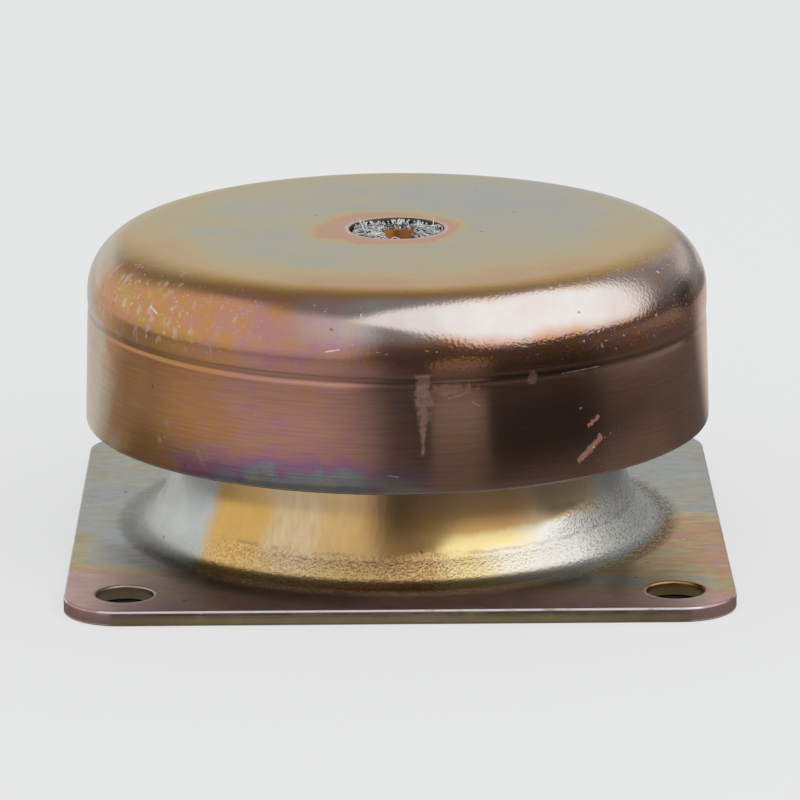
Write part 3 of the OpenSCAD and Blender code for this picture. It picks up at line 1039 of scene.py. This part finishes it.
def lay_wires(bm, paths, closed, finish_slot=1, radius=WIRE_R):
    curve = bpy.data.curves.new("wires", "CURVE")
    curve.dimensions = "3D"
    curve.bevel_depth = radius
    curve.bevel_resolution = 1
    curve.use_fill_caps = True
    for path in paths:
        line = curve.splines.new("POLY")
        line.points.add(len(path) - 1)
        for point, place in zip(line.points, path):
            point.co = (*place, 1)
        line.use_cyclic_u = closed
    carrier = bpy.data.objects.new("wires", curve)
    mesh = bpy.data.meshes.new_from_object(carrier)
    before = len(bm.faces)
    bm.from_mesh(mesh)
    bm.faces.ensure_lookup_table()
    for face in bm.faces[before:]:
        face.material_index = finish_slot
    bpy.data.objects.remove(carrier)
    bpy.data.curves.remove(curve)
    bpy.data.meshes.remove(mesh)


def course(r, z, stitches, tall, deep, phase):
    """One knitted row round a ring: stitches that swing back on themselves."""
    row = []
    for step in range(stitches * STITCH_STEPS):
        t = step / STITCH_STEPS
        turn = (t + SWING_BACK * math.sin(2 * FULL * t) + phase) * FULL / stitches
        row.append(around(r + deep * math.cos(2 * FULL * t), turn, z + tall * math.cos(FULL * t)))
    return row


def knitted_side(bm, r, low, high, rows, stitches):
    """Rows of stitches over a ring's upright side, each half a stitch on from the one below."""
    gap = (high - low) / (rows - 1)
    for row in range(rows):
        stitched = course(r + 0.02, low + gap * row, stitches, 1.25 * gap / 2, 0.1, row * 0.5)
        lay_wires(bm, [stitched], True)


# %% Wire: finishes
def wire_finish():
    f = Finish(bpy.data.materials.new("knitted_wire"))
    tint = f.noise(2.5, 81)
    colour = f.mix(tint.step(0.35, 0.70), (0.88, 0.89, 0.90), (0.42, 0.45, 0.50))
    crimp = f.noise(0.4, 82, detail=1)
    return f.metal(colour, 0.16 + 0.16 * tint, f.bump(crimp, 0.03))


def pressed_core_finish():
    f = Finish(bpy.data.materials.new("pressed_wire_core"))
    strands = f.noise(0.5, 83, at=f.stretched(0.6, 0.6, 2.4)).step(0.35, 0.65)
    # painted shade: near-black in the gaps between the pressed strands
    colour = f.mix(strands, (0.06, 0.06, 0.06), (0.45, 0.46, 0.48))
    return f.metal(colour, 0.35 + 0.1 * strands, f.bump(strands, 0.15))


wire = wire_finish()
core = pressed_core_finish()

# %% Load ring: core, stitches round its side
ring_low, ring_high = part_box("upper_wire_ring")
RING_R = ring_high.x / MM
RING_FOOT = DOME_H + 0.1
RING_HEAD = CUP_TOP - SHEET - 0.1
SPIGOT_Z = ring_low.z / MM
COLLAR_Z = ring_high.z / MM
WIRE_IN_R = 6.75
COLLAR_R = 7.75
SPIGOT_R = MOUTH_R - 0.25
PRESSED = 3
SUNK = 2 * WIRE_R

core_r = RING_R - SUNK
ring = Section(WIRE_IN_R, SPIGOT_Z).line(SPIGOT_R, SPIGOT_Z).line(SPIGOT_R, RING_FOOT + SUNK)
ring.line(core_r - PRESSED, RING_FOOT + SUNK).arc(core_r - PRESSED, RING_FOOT + SUNK + PRESSED, 90, 6)
ring.line(core_r, RING_HEAD - SUNK - PRESSED).arc(core_r - PRESSED, RING_HEAD - SUNK - PRESSED, 90, 6)
ring.line(COLLAR_R - SUNK, RING_HEAD - SUNK).line(COLLAR_R - SUNK, COLLAR_Z - SUNK)
ring.line(WIRE_IN_R, COLLAR_Z - SUNK).close()
ring_bm = ring.turn(steps=128)

knitted_side(ring_bm, core_r, RING_FOOT + PRESSED, RING_HEAD - PRESSED, rows=9, stitches=46)

# %% Load ring: the wire in the cup's hole
chance = random.Random(7)
HOLE_FLOOR = BUSH_TOP + WIRE_R
HOLE_RIM = CUP_TOP - 0.2
HAIRPIN_STEPS = 26
FRINGE_STRANDS = 110
FRINGE_STEPS = 8
LOOP_STEPS = 24


def crimped(points, wave=0.10, length=0.8):
    """The same path with the small zigzag of crimped wire."""
    bent = []
    walked = 0.0
    for number, point in enumerate(points):
        after = points[min(number + 1, len(points) - 1)]
        before = points[max(number - 1, 0)]
        along = (after - before).normalized()
        aside = along.cross(Vector((0.2, 0.1, 1))).normalized()
        if number:
            walked += (point - points[number - 1]).length
        bent.append(point + aside * wave * math.sin(FULL * walked / length))
    return bent


def hairpin(angle, spread, tip, low, high):
    """A loop of wire that leans in from the collar over the bush, and back."""
    points = []
    for number in range(HAIRPIN_STEPS + 1):
        share = number / HAIRPIN_STEPS
        inwards = math.sin(math.pi * share) ** 0.75
        r = COLLAR_R - 0.25 - (COLLAR_R - tip) * inwards
        turn = math.radians(angle + spread * (share - 0.5) * (1 + 1.6 * inwards))
        z = low + (high - low) * inwards + 0.25 * math.sin(FULL * share)
        points.append(around(r, turn, z))
    return crimped(points)


hairpins = []
for side, count, tips in ((-90, 30, (3.0, 5.8)), (90, 30, (3.4, 6.0)), (0, 8, (6.2, 7.0))):
    for number in range(count):
        angle = side + chance.uniform(-48, 48)
        tip = chance.uniform(*tips)
        low = chance.uniform(HOLE_FLOOR, HOLE_FLOOR + 0.7)
        high = chance.uniform(HOLE_FLOOR + 0.1, HOLE_RIM)
        hairpins.append(hairpin(angle, chance.uniform(5, 13), tip, low, high))
lay_wires(ring_bm, hairpins, False)

# the back of the collar: strands that stand nearly upright, with gaps between them
fringe = []
for number in range(FRINGE_STRANDS):
    turn = math.radians(180 + chance.uniform(-74, 74))
    lean_by = math.radians(chance.uniform(-9, 9))
    foot_r, head_r = chance.uniform(6.4, 7.2), chance.uniform(6.9, 7.6)
    head_z = chance.uniform(CUP_TOP - 0.8, CUP_TOP - 0.05)
    points = []
    for step in range(FRINGE_STEPS + 1):
        share = step / FRINGE_STEPS
        r = foot_r + (head_r - foot_r) * share
        z = BUSH_TOP - 0.5 + (head_z - BUSH_TOP + 0.5) * share
        points.append(around(r, turn + lean_by * share, z))
    fringe.append(crimped(points, 0.09, 0.9))
lay_wires(ring_bm, fringe, False, radius=0.17)

# %% Load ring: the strands that catch the eye
def straight(start, end, steps):
    """Places along a straight strand, whose heights are counted from the cup's top."""
    top = Vector((0, 0, CUP_TOP))
    return [(top + Vector(start)).lerp(top + Vector(end), step / steps) for step in range(steps + 1)]


strand = straight((-6.3, 4.8, 0.35), (-5.05, -5.6, -0.05), 12)
second = straight((-5.6, 4.6, 0.1), (-4.9, -1.2, -0.3), 8)
loose_end = straight((6.15, 2.2, -0.9), (6.25, 3.0, -0.2), 1) + straight((6.3, 3.5, 0.5), (6.3, 3.7, 1.3), 1)
lay_wires(ring_bm, [crimped(strand, 0.05, 1.4), crimped(second, 0.06, 1.2)], False, radius=0.2)
lay_wires(ring_bm, [loose_end], False, radius=0.09)
big_loop = []
for step in range(LOOP_STEPS):
    a = FULL * step / LOOP_STEPS
    height = CUP_TOP - 0.25 + 0.1 * math.sin(2 * a)
    big_loop.append(Vector((6.75 + 1.0 * math.cos(a), 0.2 + 2.7 * math.sin(a), height)))
lay_wires(ring_bm, [big_loop], True, radius=0.13)

load_ring = finished(ring_bm, "load_ring", "upper_wire_ring", None, "knitted_wire", core, wire)
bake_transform(load_ring)

# %% Rebound ring
low_corner, high_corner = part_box("lower_wire_ring")
low_z, high_z, low_r = low_corner.z / MM, high_corner.z / MM, high_corner.x / MM - SUNK
rebound = Section(WIRE_IN_R, low_z + SUNK).line(low_r - PRESSED, low_z + SUNK)
rebound.arc(low_r - PRESSED, low_z + SUNK + PRESSED, 90, 6).line(low_r, high_z - SUNK - PRESSED)
rebound.arc(low_r - PRESSED, high_z - SUNK - PRESSED, 90, 6).line(WIRE_IN_R, high_z - SUNK).close()
rebound_bm = rebound.turn(steps=128)
knitted_side(rebound_bm, low_r, low_z + PRESSED, high_z - PRESSED, rows=5, stitches=36)
rebound_ring = finished(rebound_bm, "rebound_ring", "lower_wire_ring", None, "knitted_wire", core, wire)
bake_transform(rebound_ring)
